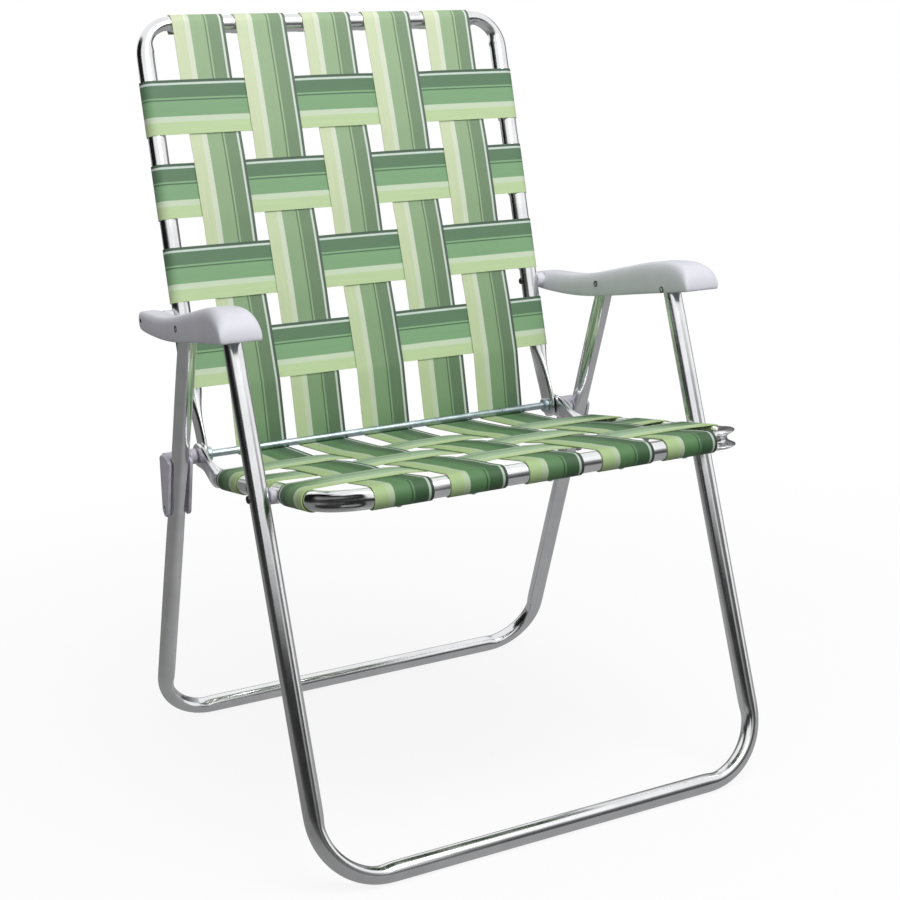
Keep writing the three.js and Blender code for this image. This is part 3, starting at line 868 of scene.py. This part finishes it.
def arm_for(side):
    """One armrest shell: a block cut at its stations, each set to its heights and widths."""
    first, last = arm_stations[0][0], arm_stations[-1][0]
    piece = begin(
        "armrest_shell_left" if side > 0 else "armrest_shell_right",
        bpy.ops.mesh.primitive_cube_add,
        size=1,
        location=(0, -(first + last) / 2, 0),
        scale=(2 * block_half, last - first, 2 * block_rise),
    )
    for station in arm_stations[1:-1]:
        bpy.ops.mesh.select_all(action="SELECT")
        bpy.ops.mesh.bisect(plane_co=(0, -station[0], 0), plane_no=(0, 1, 0))
    bpy.ops.mesh.select_all(action="SELECT")
    bpy.ops.mesh.bisect(plane_co=(0, 0, 0), plane_no=(1, 0, 0))
    for forward, top, under, inner, outer in arm_stations:
        for upper, height in ((True, top - block_rise), (False, under + block_rise)):
            pick(piece, lambda p, _: abs(p.y + forward) < fine / 2 and (p.z > 0) == upper)
            bpy.ops.transform.translate(value=(0, 0, height))
        for face, reach in ((side, outer), (-side, inner)):
            pick(piece, lambda p, _: abs(p.y + forward) < fine / 2 and face * p.x > fine / 2)
            bpy.ops.transform.translate(value=(face * (reach - block_half), 0, 0))
    pick(piece, lambda _, direction: direction.z < -0.7, "faces")
    bpy.ops.mesh.delete(type="FACE")
    for edge, percent in arm_round_percent.items():
        face = side if edge == "outer" else -side
        pick(piece, lambda place, direction: top_edge(place, direction, face), "edges")
        bpy.ops.mesh.bevel(offset_type="PERCENT", offset_pct=percent, segments=4, affect="EDGES")
    close_piece(piece, 2, arm_wall)
    put(piece, (side * leg_half, *pivots["arm_fold"].yz), (-arm_tilt, 0, 0))
    boss_from = back_half + tube_radius + arm_boss_gap
    boss_to = leg_half - boss_side + arm_boss_sink
    bpy.ops.object.mode_set(mode="EDIT")
    bpy.ops.mesh.select_all(action="DESELECT")
    bpy.ops.mesh.primitive_cylinder_add(
        vertices=arm_boss_sides,
        radius=arm_boss_radius,
        depth=boss_to - boss_from,
        location=(side * (boss_from + boss_to) / 2, *pivots["arm_fold"].yz),
        rotation=(0, math.pi / 2, 0),
    )
    bpy.ops.object.mode_set(mode="OBJECT")
    return piece


for side, name in sides:
    fit(arm_for(side), "arms", white_plastic, "white_plastic", "armrest_" + name)

# Armrest rivets: small dark steel eyelets, rolled nearly flush with the skirts of the armrest, one
# through each leg top. A longer rivet goes through the back tube into the armrest's boss, behind
# which the outer skirt has a smaller eye.
eyelet_radius = 0.0034
eyelet_height = 0.0006
eyelet_hole = 0.0026
small_eye_share = 0.55
back_rivet_radius = 0.0036
back_rivet_height = 0.0014
back_rivet_hole = 0.0018
rivet_sides = 28

eyelet = turned("arm_eyelet", rivet_stations(eyelet_radius, eyelet_height, eyelet_hole), rivet_sides)
stations = rivet_stations(back_rivet_radius, back_rivet_height, back_rivet_hole)
back_rivet = turned("back_rivet", stations, rivet_sides)
for side, name in sides:
    for joint, part, end, face in (
        ("front_leg_fold", "arm_front_rivet_", "inner", -skirt_inner),
        ("rear_leg_fold", "arm_rear_rivet_", "inner", -skirt_inner),
        ("rear_leg_fold", "arm_rear_rivet_", "outer", skirt_outer),
    ):
        head = copy_of(eyelet, f"{part}{end}_{name}")
        lay_across(head, side * (leg_half + face), pivots[joint], side if face > 0 else -side)
        fit(head, "arms", dark_steel, "zinc_steel", part + name)
    hole = copy_of(eyelet, "arm_back_hole_" + name)
    hole.scale = (small_eye_share, small_eye_share, 1)
    lay_across(hole, side * (leg_half + hole_side), pivots["arm_fold"], side)
    fit(hole, "arms", dark_steel, "zinc_steel")
    head = copy_of(back_rivet, "arm_back_rivet_head_" + name)
    lay_across(head, side * (back_half - tube_radius), pivots["arm_fold"], -side)
    fit(head, "back", dark_steel, "zinc_steel", "arm_back_rivet_" + name)
for pattern in (eyelet, back_rivet):
    bpy.data.objects.remove(pattern)

# Lengthwise webbing: five straps of striped polypropylene, woven flat and 57 mm wide. Each is
# wrapped over the top bar and screwed behind it, runs down the back, behind and under the rod,
# and along the seat to its front bar, where it is screwed from below.
web_width = 0.057
web_thickness = 0.0009
web_columns = 10
row_step = 0.006
web_crease = math.radians(40)
web_level = 0.0103
web_lap = 140
lap_steps = 16
weave_lift = 0.00075
# A strap lies flat for this far either side of a crossing, a bar and a side tube.
cross_hold = 0.44 * web_width
bar_hold = 0.012
tube_hold = 0.004
# This far beyond its last crossing it makes straight for the rod, and turns round it in steps.
last_hold = 0.55 * web_width
down_steps, rod_steps, up_steps = 10, 8, 12
rod_gap = 0.0002
back_cross = [0.3645, 0.27719, 0.18988, 0.09888]
seat_cross = [0.11043, 0.19843, 0.28443]
# Laced by hand, the straps stand a little off their places, here at the top bar, at the rod and at
# the seat's front.
strap_top = [-0.1520, -0.0816, -0.0044, 0.0686, 0.1439]
strap_rod = [-0.1440, -0.0744, 0.0038, 0.0798, 0.1492]
strap_front = [-0.1510, -0.0770, 0.0030, 0.0805, 0.1530]


def strap_place(index, from_top):
    """Where a lengthwise strap stands, by how far down it is from the top bar."""
    if from_top < back_height:
        return strap_top[index] + (strap_rod[index] - strap_top[index]) * max(0, from_top / back_height)
    share = min(1, (from_top - back_height) / seat_front)
    return strap_rod[index] + (strap_front[index] - strap_rod[index]) * share


def over_under(cross_index, strap_index):
    """1 where a crosswise strap lies over a lengthwise one, and -1 where it lies under."""
    return 1 if (cross_index + strap_index) % 2 == 0 else -1


def woven(position, crossings):
    """How high a strap lies at a position, easing from each (place, height, flat) to the next."""
    if position <= crossings[0][0]:
        return crossings[0][1] * weave_lift
    for (place, height, flat), (next_place, next_height, next_flat) in zip(crossings, crossings[1:]):
        if position <= next_place:
            room = next_place - place - flat - next_flat
            share = min(1, max(0, (position - place - flat) / room))
            eased = share * share * (3 - 2 * share)
            return (height + (next_height - height) * eased) * weave_lift
    return crossings[-1][1] * weave_lift


def strap(name, path, across):
    """Lays a strap along a path of points, its width along the direction given, and measures it."""
    bpy.ops.object.select_all(action="DESELECT")
    bpy.ops.mesh.primitive_grid_add(x_subdivisions=web_columns, y_subdivisions=len(path) - 1, size=1)
    piece = bpy.context.active_object
    piece.name = name
    travelled = [0]
    for before, after in zip(path, path[1:]):
        travelled.append(travelled[-1] + (after - before).length)
    for index, vertex in enumerate(piece.data.vertices):
        row, column = divmod(index, web_columns + 1)
        vertex.co = path[row] + across * (column / web_columns - 0.5) * web_width
    for loop in piece.data.loops:
        row, column = divmod(loop.vertex_index, web_columns + 1)
        chart_place = (column / web_columns, travelled[row] / web_width)
        piece.data.uv_layers[0].data[loop.index].uv = chart_place
    cloth = piece.modifiers.new("cloth", "SOLIDIFY")
    cloth.thickness = web_thickness
    cloth.offset = 0
    bpy.ops.object.modifier_apply(modifier=cloth.name)
    bpy.ops.object.shade_smooth_by_angle(angle=web_crease)
    return piece, travelled[-1]


def stripes(dyes):
    """The colours across a strap, from its light edge to its dark one. A dark thread and a light
    one part the two greens, and a white cord runs inside the dark selvedge."""
    shade = {name: seen(*dye) for name, dye in dyes.items()}
    thread = tuple(0.72 * c for c in shade["dark"])
    bright = tuple(1.12 * c for c in shade["medium"])
    bands = [
        (0.0, shade["light"]),
        (0.225, shade["pale"]),
        (0.330, shade["medium"]),
        (0.614, thread),
        (0.640, bright),
        (0.672, shade["dark"]),
        (0.908, shade["line"]),
        (0.948, shade["edge"]),
    ]
    blur = 0.004
    stops = bands[:1]
    for (_, before), (place, after) in zip(bands, bands[1:]):
        stops += [(place - blur, before), (place + blur, after)]
    return stops


def webbing_finish(name, sheen_palette, shade_palette, shade_share):
    """Striped webbing across its own UV map: warp yarns along it, weft picks across. Its colour mixes
    two palettes, the first with any painted sheen and the second with any painted shade; the last
    argument gives the share of the second along the strap, counted in strap widths, and so paints where
    that sheen and shade fall."""
    yarns, picks = 76, 46
    finish, surface, wire, _ = new_finish(name, metallic=0.0)
    chart = wire.node("ShaderNodeUVMap", {"uv_map": "UVMap"}, {})
    across, along = chart.axis("X"), chart.axis("Y")
    longest = shade_share[-1][0]
    shares = [(place / longest, (share, share, share)) for place, share in shade_share]
    # The mix paints light into the dye: the first palette's painted sheen and the second's painted
    # shade, in their shares along the strap.
    dye = wire.mix(
        "MIX",
        (along * (1 / longest)).ramp(shares),
        across.ramp(stripes(sheen_palette)),
        across.ramp(stripes(shade_palette)),
    )
    streak_place = wire.node("ShaderNodeCombineXYZ", {}, {"X": across * 70.0, "Y": along * 0.6})
    streak = wire.noise(streak_place, scale=1.0, detail=3.0)
    warp = 0.5 + 0.5 * (across * (2 * math.pi * yarns)).sine()
    weft = 0.5 + 0.5 * (along * (2 * math.pi * picks)).sine()
    weave = 0.7 * warp + 0.3 * weft
    grain = wire.noise(chart, scale=95.0, detail=2.0)
    # Random streaks and grain vary the tone, and the weave darkens the colour between the yarns, a
    # painted shade.
    tone_and_yarn_shade = 0.4 * streak + 0.2 * weave + 0.4 * grain
    depth = tone_and_yarn_shade.ramp([(0.2, (0.84, 0.84, 0.84)), (0.8, (1.10, 1.10, 1.10))])
    feed(
        surface,
        wire,
        Base_Color=wire.mix("MULTIPLY", 1.0, dye, depth),
        Roughness=0.48 + 0.2 * streak,
        Normal=raised(wire, weave, strength=0.35, distance=0.0002),
    )
    return finish


# The dyes with painted light: paler with a painted sheen on the back, and darker with painted shade on
# the seat.
sheen_painted_greens = dict(
    light=(221, 232, 194), pale=(231, 239, 217), medium=(163, 191, 150),
    dark=(130, 156, 122), line=(226, 236, 228), edge=(94, 114, 96),
)
shade_painted_greens = dict(
    light=(170, 196, 138), pale=(178, 198, 164), medium=(82, 126, 78),
    dark=(54, 90, 54), line=(184, 202, 186), edge=(46, 60, 48),
)
# Along each strap the painted sheen of the back gives way to the painted shade of the seat.
green_lengthwise = webbing_finish(
    "green_webbing_lengthwise",
    sheen_painted_greens,
    shade_painted_greens,
    [(0, 0), (1.5, 0.05), (7, 0.42), (8.2, 0.55), (9.2, 1), (16, 1)],
)


def lap_over(plane, bar, facing):
    """Points over the bar of a hoop, from the screw behind it to the side that the straps face."""
    points = []
    for step in range(lap_steps + 1):
        angle = math.radians((90 + web_lap) * step / lap_steps - web_lap)
        out = facing * web_level * math.sin(angle)
        points.append(plane.point(0, bar + web_level * math.cos(angle), out))
    return points


def steps_between(start, end):
    """Places from one to another, about a row apart."""
    count = max(1, round(abs(end - start) / row_step))
    return [start + (end - start) * i / count for i in range(count + 1)]


beside_rod = rod_radius + rod_gap + web_thickness / 2
for index in range(len(strap_rod)):
    back_crossings = [(p, -over_under(i, index), cross_hold) for i, p in enumerate(back_cross)][::-1]
    back_crossings.append((back_height, 0, bar_hold))
    seat_crossings = [(p, -over_under(i, index), cross_hold) for i, p in enumerate(seat_cross)]
    seat_crossings.append((seat_front, 0, bar_hold))
    low = back_cross[-1] - last_hold
    rear = seat_cross[0] - last_hold
    path = lap_over(back_plane, back_height, 1)
    for along in steps_between(back_height, low)[1:]:
        path.append(back_plane.point(0, along, web_level + woven(along, back_crossings)))
    leave = path[-1] - hinge
    meet = seat_plane.point(0, rear, -web_level - woven(rear, seat_crossings)) - hinge
    start = math.atan2(leave.z, leave.y) - math.acos(beside_rod / leave.length)
    end = math.atan2(meet.z, meet.y) + math.acos(beside_rod / meet.length) - 2 * math.pi
    round_rod = []
    for step in range(rod_steps + 1):
        angle = start + (end - start) * step / rod_steps
        round_rod.append(hinge + beside_rod * Vector((0, math.cos(angle), math.sin(angle))))
    path += [path[-1].lerp(round_rod[0], i / down_steps) for i in range(1, down_steps)] + round_rod
    path += [round_rod[-1].lerp(hinge + meet, i / up_steps) for i in range(1, up_steps)]
    for along in steps_between(rear, seat_front):
        path.append(seat_plane.point(0, along, -web_level - woven(along, seat_crossings)))
    path += lap_over(seat_plane, seat_front, -1)[-2::-1]
    from_top = -math.radians(90 + web_lap) * web_level
    for i, point in enumerate(path):
        if i:
            from_top += (point.yz - path[i - 1].yz).length
        point.x = strap_place(index, from_top)
    piece, length = strap(f"strap_lengthwise_{index + 1}", path, Vector((1, 0, 0)))
    piece.data.materials.append(green_lengthwise)
    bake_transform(piece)
    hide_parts(f"back_web_lengthwise_{index + 1}", f"seat_web_lengthwise_{index + 1}")

# Crosswise webbing: four straps across the back and three across the seat, of the same roll,
# passed over and under the lengthwise ones, wrapped round the side tubes and screwed behind.
cross_greens = dict(
    light=(199, 222, 170), pale=(212, 228, 200), medium=(132, 174, 129),
    dark=(95, 130, 98), line=(216, 230, 220), edge=(76, 100, 80),
)
# On the seat the crosswise straps carry a painted sheen on top and painted shade where they wrap round
# the side tubes.
seat_sheen_greens = dict(
    light=(192, 215, 162), pale=(202, 218, 190), medium=(166, 196, 157),
    dark=(138, 168, 133), line=(212, 226, 210), edge=(88, 108, 86),
)
wrap_shade_greens = dict(
    light=(176, 202, 140), pale=(190, 207, 178), medium=(96, 136, 88),
    dark=(64, 100, 62), line=(196, 212, 192), edge=(52, 68, 52),
)
cross_finish = {
    "back": webbing_finish("green_webbing_back", cross_greens, cross_greens, [(0, 0), (9, 0)]),
    "seat": webbing_finish(
        "green_webbing_seat",
        seat_sheen_greens,
        wrap_shade_greens,
        [(0, 1), (0.7, 1), (1.4, 0), (7.4, 0), (8.1, 1), (9, 1)],
    ),
}

for part, plane, half, facing, places in (
    ("back", back_plane, back_half, 1, back_cross),
    ("seat", seat_plane, seat_half, -1, seat_cross),
):
    for cross_index, along in enumerate(places):
        from_top = back_height - along if part == "back" else back_height + along
        crossings = [(-half, 0, tube_hold)]
        for index in range(len(strap_rod)):
            where = strap_place(index, from_top)
            crossings.append((where, over_under(cross_index, index), cross_hold))
        crossings.append((half, 0, tube_hold))
        lap = [math.radians(90 - (90 + web_lap) * step / lap_steps) for step in range(lap_steps + 1)]
        path = []
        for angle in reversed(lap):
            reach = -half - web_level * math.cos(angle)
            path.append(plane.point(reach, along, facing * web_level * math.sin(angle)))
        for across in steps_between(-half, half)[1:]:
            path.append(plane.point(across, along, facing * (web_level + woven(across, crossings))))
        for angle in lap[1:]:
            reach = half + web_level * math.cos(angle)
            path.append(plane.point(reach, along, facing * web_level * math.sin(angle)))
        name = f"strap_{part}_cross_{cross_index + 1}"
        piece, length = strap(name, path, facing * plane.along)
        fit(piece, part, cross_finish[part], "green_webbing", f"{part}_web_cross_{cross_index + 1}")
        part + "_tube"

# Webbing screws: zinc-plated pan-head screws with a small recess, one through each wrapped end into
# the tube, behind the back and under the seat.
screw_radius = 0.004
screw_height = 0.0024
screw_sides = 24
screw_level = web_level + web_thickness / 2
screw_round = math.radians(32)


def drive(name, part, foot, behind, sideways, *nodes):
    """Drives a screw into a tube through a strap's end, from behind and a little round the tube."""
    way = math.cos(screw_round) * behind - math.sin(screw_round) * sideways
    head = copy_of(screw, name)
    put(head, foot + screw_level * way, way.to_track_quat("Z", "Y").to_euler())
    fit(head, part, zinc_plate, "zinc_steel", *nodes)


screw = turned(
    "web_screw",
    [
        (0, screw_radius),
        (0.45 * screw_height, screw_radius),
        (0.8 * screw_height, 0.85 * screw_radius),
        (screw_height, 0.55 * screw_radius),
        (0.97 * screw_height, 0.32 * screw_radius),
        (0.4 * screw_height, 0.18 * screw_radius),
    ],
    screw_sides,
)
for part, plane, half, facing, bar, places, straps in (
    ("back", back_plane, back_half, 1, back_height, back_cross, strap_top),
    ("seat", seat_plane, seat_half, -1, seat_front, seat_cross, strap_front),
):
    behind = -facing * plane.out
    for number, across in enumerate(straps, 1):
        foot = plane.point(across, bar, 0)
        node = f"{part}_web_screw_{number}"
        drive(f"{part}_screw_{number}", part, foot, behind, plane.along, node)
    for number, along in enumerate(places, 1):
        for side, name in sides:
            foot = plane.point(side * half, along, 0)
            drive(f"{part}_cross_screw_{number}_{name}", part, foot, behind, Vector((side, 0, 0)))
bpy.data.objects.remove(screw)

# Studio: a pale floor that keeps the chair's soft shadow, a white surround, glowing cards that only
# reflections see, which paint grey and white reflections into the metal, and one soft lamp, close, high
# and in front. The tubes see the floor as a grey glow, a painted reflection darker to the sitter's
# right.
floor_size = 14
paper_white = (0.95, 0.95, 0.95, 1)
paper_bounce = (0.25, 0.25, 0.255, 1)
# Greys that the floor glows to reflections alone, a painted reflection.
floor_greys = [(0.1, (0.22, 0.22, 0.217)), (0.4, (0.36, 0.36, 0.362))]
white = (1, 1, 1, 1)
fill_strength = 0.46
lamp_place = (0.15, -1.25, 2.0)
lamp_aim = Vector((0, 0, 0.5))
lamp_size = 1.5
lamp_power = 30
facing_front, facing_side = (math.pi / 2, 0, 0), (0, math.pi / 2, 0)
# Each card's middle, its turn, its size before that turn, and its greys by height.
cards = {
    "card_left": (
        (-1.7, 1.1, 1.2), facing_side, (2.4, 2.7),
        [(0, 0.08), (0.4, 0.01), (1.9, 0.01), (2.4, 0.3)],
    ),
    "card_left_front": (
        (-1.7, -0.75, 0.55), facing_side, (1.1, 1.0),
        [(0, 0.04), (0.85, 0.035), (0.95, 0.16), (1.03, 0.5), (1.1, 0.8)],
    ),
    "card_front": (
        (-0.85, -1.2, 0.4), facing_front, (1.7, 0.8),
        [(0, 0.12), (0.13, 0.08), (0.2, 0.015), (0.42, 0.02), (0.49, 0.12), (0.57, 0.38),
         (0.66, 0.75), (0.8, 1.0)],
    ),
    "card_front_right": (
        (0.87, -1.2, 0.8), facing_front, (1.06, 1.6),
        [(0, 0.10), (0.28, 0.07), (0.40, 0.10), (0.55, 0.17), (0.78, 0.34), (0.9, 0.7),
         (1.0, 1.0), (1.6, 1.0)],
    ),
    "card_front_gap": (
        (0.17, -1.2, 0.4), facing_front, (0.34, 0.8),
        [(0, 0.12), (0.28, 0.2), (0.38, 0.42), (0.47, 0.6), (0.57, 0.62), (0.68, 0.92), (0.8, 1.0)],
    ),
    "card_right": (
        (1.6, 1.3, 0.9), facing_side, (1.8, 2.2),
        [(0, 0.08), (0.5, 0.12), (1.8, 0.6)],
    ),
    "card_behind": (
        (0, 2.6, 0.4), facing_front, (3.4, 0.8),
        [(0, 0.2), (0.5, 0.2), (0.8, 0.9)],
    ),
}


def bare_wire(owner):
    """Clears the nodes of a material or world, and gives a wire to start from."""
    owner.use_nodes = True
    owner.node_tree.nodes.clear()
    return Wire(owner.node_tree)


def show(wire, kind, shader):
    """Ends the nodes of a material or world in its output."""
    output = wire.tree.nodes.new("ShaderNodeOutput" + kind)
    wire.tree.links.new(shader.output, output.inputs["Surface"])


def ray(wire, kind):
    """1 for the rays of one kind and 0 for the others."""
    return wire.node("ShaderNodeLightPath", {}, {}, f"Is {kind} Ray")


def glow(wire, colour):
    """Light of one colour, at the strength that shows that colour."""
    return wire.node("ShaderNodeEmission", {}, {"Color": colour, "Strength": 1.0})


def mix_shader(wire, share, first, second):
    """The first shader with a share of the second."""
    return wire.node("ShaderNodeMixShader", {}, {0: share, 1: first, 2: second})


bpy.ops.object.select_all(action="DESELECT")
bpy.ops.mesh.primitive_plane_add(size=floor_size, location=(0, 0, 0))
floor = bpy.context.active_object
floor.name = "floor"
paper = bpy.data.materials.new("floor_paper")
floor.data.materials.append(paper)
wire = bare_wire(paper)
place = wire.node("ShaderNodeTexCoord", {}, {}, "Object")
distance = wire.node("ShaderNodeVectorMath", {"operation": "LENGTH"}, {0: place}, "Value")
to_camera = ray(wire, "Camera")
paper_colour = wire.mix("MIX", to_camera, paper_bounce, paper_white)
matt = wire.node("ShaderNodeBsdfDiffuse", {}, {"Color": paper_colour})
grey = (place.axis("X") + 0.5).ramp(floor_greys)
whiteness = wire.math("MINIMUM", 0.84 + 0.12 * distance, 1.0)
# Reflections see the floor as a grey glow, darker to the sitter's right: a painted reflection.
floor_shader = mix_shader(wire, ray(wire, "Glossy"), matt, glow(wire, grey))
show(wire, "Material", mix_shader(wire, to_camera * whiteness, floor_shader, glow(wire, white)))

# Each card glows its greys to reflections alone, a painted reflection, and neither lights nor shades
# the chair.
for name, (middle, turn, size, greys) in cards.items():
    bpy.ops.object.select_all(action="DESELECT")
    bpy.ops.mesh.primitive_plane_add(size=1, location=middle, rotation=turn)
    card = bpy.context.active_object
    card.name = name
    card.scale = (*size, 1)
    bpy.ops.object.transform_apply(location=True, rotation=True, scale=True)
    shade = bpy.data.materials.new(name)
    card.data.materials.append(shade)
    wire = bare_wire(shade)
    place = wire.node("ShaderNodeTexCoord", {}, {}, "Object")
    tall = greys[-1][0]
    stops = [(level / tall, (grey, grey, grey)) for level, grey in greys]
    show(wire, "Material", glow(wire, (place.axis("Z") * (1 / tall)).ramp(stops)))
    card.visible_camera = False
    card.visible_diffuse = False
    card.visible_shadow = False

bpy.ops.object.light_add(type="AREA", location=lamp_place)
lamp = bpy.context.active_object
lamp.name = "key_lamp"
lamp.data.size = lamp_size
lamp.data.energy = lamp_power
lamp.rotation_euler = (lamp_aim - lamp.location).to_track_quat("-Z", "Y").to_euler()

world = bpy.data.worlds.new("studio")
bpy.context.scene.world = world
wire = bare_wire(world)
shown = ray(wire, "Camera") + ray(wire, "Glossy") + ray(wire, "Transmission")
fill = wire.node("ShaderNodeBackground", {}, {"Color": white, "Strength": fill_strength})
surround = wire.node("ShaderNodeBackground", {}, {"Color": white, "Strength": 1.0})
show(wire, "World", mix_shader(wire, wire.math("MINIMUM", shown, 1.0), fill, surround))
